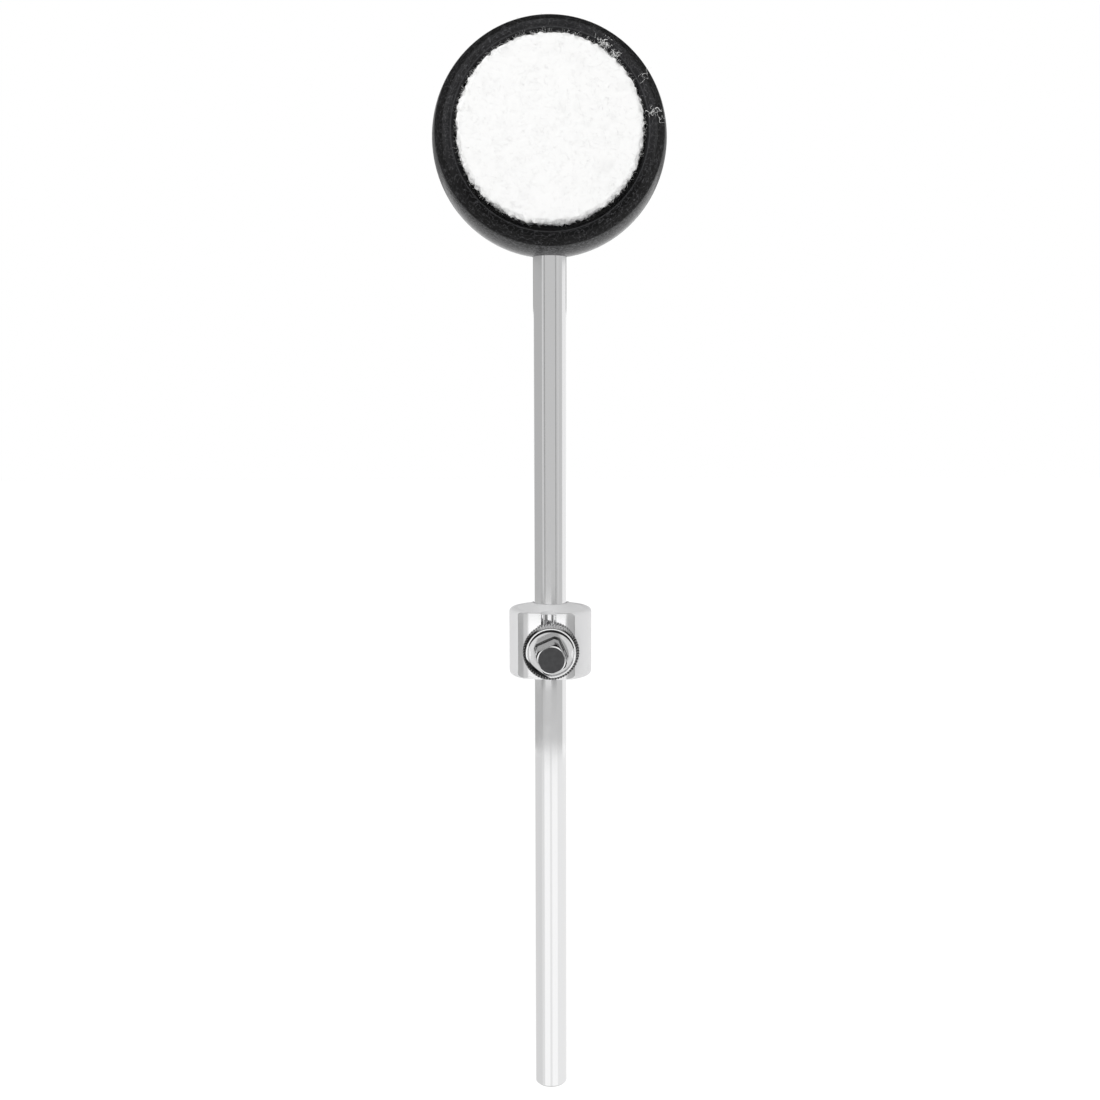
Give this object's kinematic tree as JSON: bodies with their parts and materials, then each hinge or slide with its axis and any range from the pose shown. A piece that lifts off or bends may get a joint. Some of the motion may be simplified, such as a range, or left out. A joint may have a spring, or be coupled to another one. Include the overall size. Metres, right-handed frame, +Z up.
{
  "type": "bass drum beater",
  "caption": "Straight plated rod with a round felt-faced head in a black rubber ring, and a lock collar with a key-headed screw that keeps the rod's height in a kick pedal.",
  "frame": {"origin": "centre of the rod's lower tip, the end that goes into the pedal's clamp", "axes": "+Z up the rod towards the head, -Y the way the felt striking face looks, +X to its right seen from the front"},
  "size_m": [0.0553, 0.0349, 0.2626],
  "materials": {
    "plated_rod": "drawn, satin plated",
    "ring_rubber": "matte, fine grain",
    "core_plastic": "moulded, satin",
    "white_felt": "pressed wool felt",
    "insert_brass": "turned",
    "pin_steel": "ground",
    "lock_chrome": "polished plate",
    "screw_chrome": "polished plate with a dark end face"
  },
  "bodies": {
    "beater": {"rod": "plated_rod", "head_ring": "ring_rubber", "head_core": "core_plastic", "felt_pad": "white_felt", "rod_insert": "insert_brass", "lock_pin": "pin_steel"},
    "collar": {"lock_collar": "lock_chrome"},
    "washer": {"lock_washer": "lock_chrome"},
    "screw": {"lock_screw": "screw_chrome"}
  },
  "joints": [
    {"name": "collar_slide", "type": "slide", "parent": "beater", "child": "collar", "axis": [0, 0, 1], "range_m": [-0.106, 0.0825]},
    {"name": "screw_advance", "type": "slide", "parent": "collar", "child": "washer", "axis": [0, -1, 0], "range_m": [0, 0.002]},
    {"name": "screw_turn", "type": "hinge", "parent": "washer", "child": "screw", "pos_m": [0, -0.0105, 0.1138], "axis": [0, -1, 0], "range_deg": [0, 720]}
  ],
  "couplings": [
    {"joint": "screw_turn", "follows": "screw_advance", "rad_per_m": 6283.2}
  ]
}
